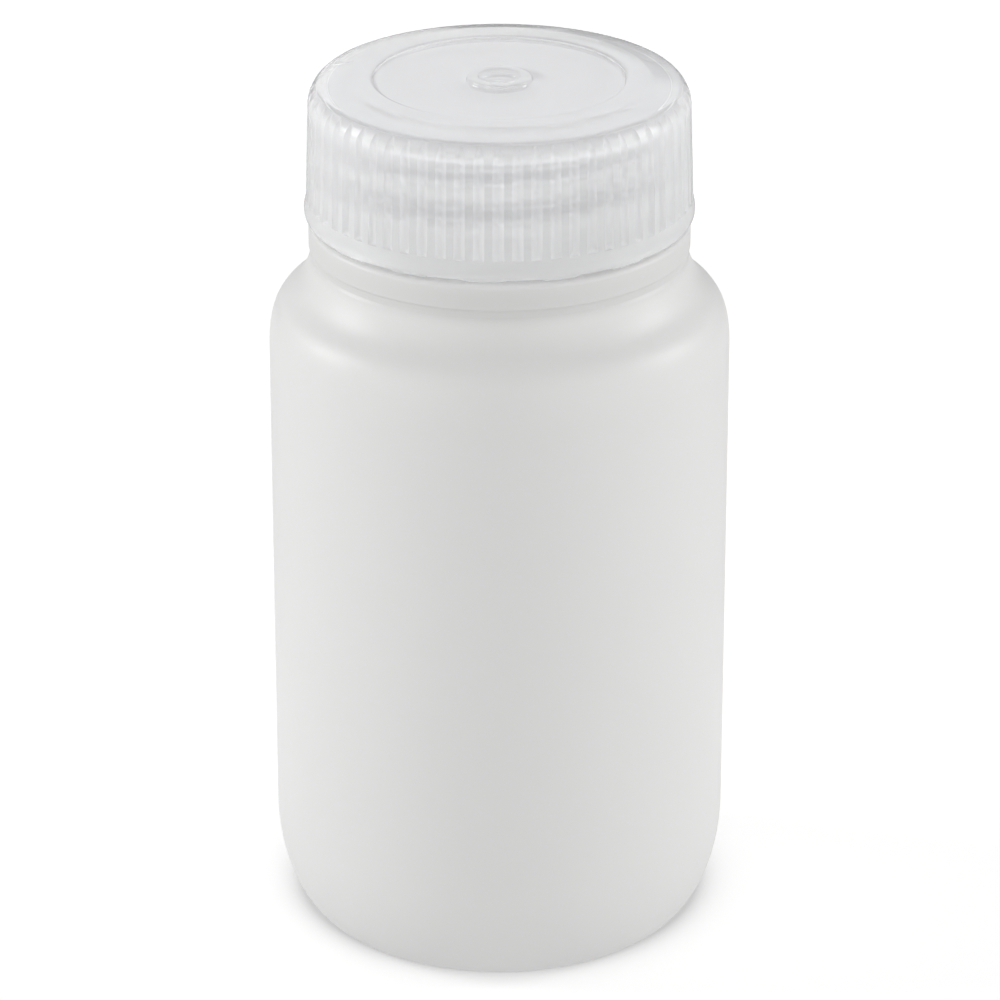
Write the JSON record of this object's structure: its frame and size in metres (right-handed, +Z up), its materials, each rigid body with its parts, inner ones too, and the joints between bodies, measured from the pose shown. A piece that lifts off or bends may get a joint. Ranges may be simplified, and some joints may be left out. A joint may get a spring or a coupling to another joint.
{
  "type": "wide-mouth reagent bottle",
  "caption": "Wide-mouth plastic reagent bottle: translucent white body with a round shoulder and neck collar, closed by a clear ribbed screw cap over a flat sealing liner.",
  "frame": {"origin": "centre of the base, on the plane the bottle stands on", "axes": "+Z up along the bottle's axis, from the base to the cap; +X and +Y are equivalent, the body is a surface of revolution"},
  "size_m": [0.05, 0.05, 0.098],
  "materials": {
    "hdpe_body": "satin translucent white polyethylene",
    "pp_cap": "clear natural polypropylene, moulded gloss",
    "foam_liner": "fine-celled white foam with a smooth skin"
  },
  "bodies": {
    "bottle": {"bottle_body": "hdpe_body"},
    "liner": {"sealing_liner": "foam_liner"},
    "cap": {"screw_cap": "pp_cap"}
  },
  "joints": [
    {"name": "cap_lift", "type": "slide", "parent": "bottle", "child": "liner", "axis": [0, 0, 1], "range_m": [0, 0.0085]},
    {"name": "cap_turn", "type": "hinge", "parent": "liner", "child": "cap", "pos_m": [0, 0, 0.0895], "axis": [0, 0, 1], "range_deg": [0, 720]}
  ],
  "couplings": [
    {"joint": "cap_lift", "follows": "cap_turn", "m_per_rad": 0.00066845}
  ]
}
